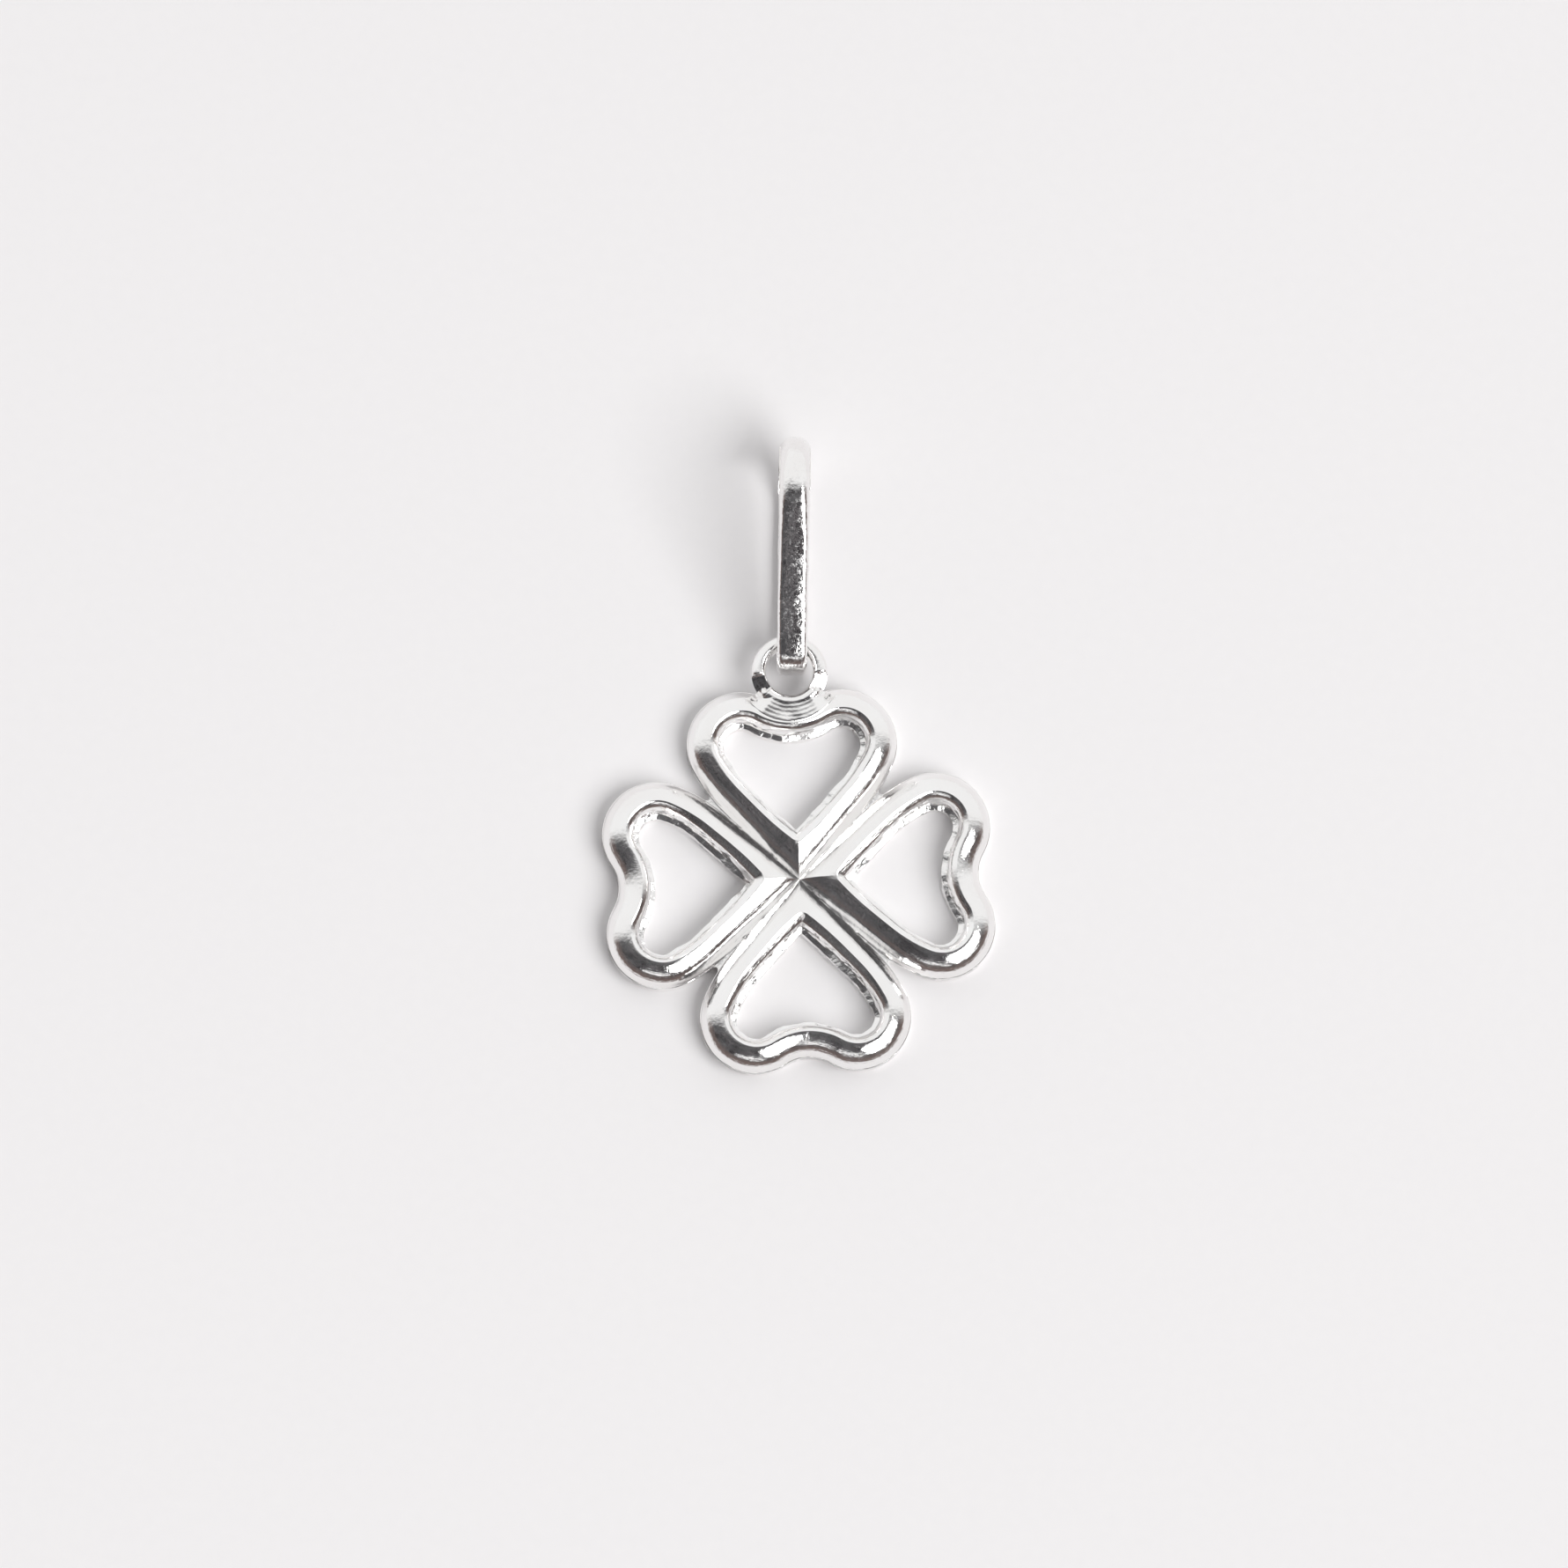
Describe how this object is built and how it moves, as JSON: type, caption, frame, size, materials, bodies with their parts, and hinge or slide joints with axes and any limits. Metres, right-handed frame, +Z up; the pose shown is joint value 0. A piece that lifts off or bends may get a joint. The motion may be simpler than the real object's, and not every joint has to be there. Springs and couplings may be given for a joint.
{
  "type": "four leaf clover pendant",
  "caption": "Small openwork clover pendant of heart-shaped rims with a drop-shaped bail loop hung through its soldered eye, lying flat.",
  "frame": {"origin": "middle of the clover, on its flat back", "axes": "+Y towards the eye and the bail, +Z up out of the face, +X to the right as seen from the front"},
  "size_m": [0.0124, 0.0204, 0.0038],
  "materials": {
    "clover_silver": "polished",
    "bail_silver": "polished"
  },
  "bodies": {
    "clover": {"clover": "clover_silver"},
    "bail": {"bail": "bail_silver"}
  },
  "joints": [
    {"name": "bail_swing", "type": "hinge", "parent": "clover", "child": "bail", "pos_m": [0.00014, 0.00772, 0.00095], "axis": [0.9968, -0.061, 0.0523], "range_deg": [-124, 116]}
  ]
}
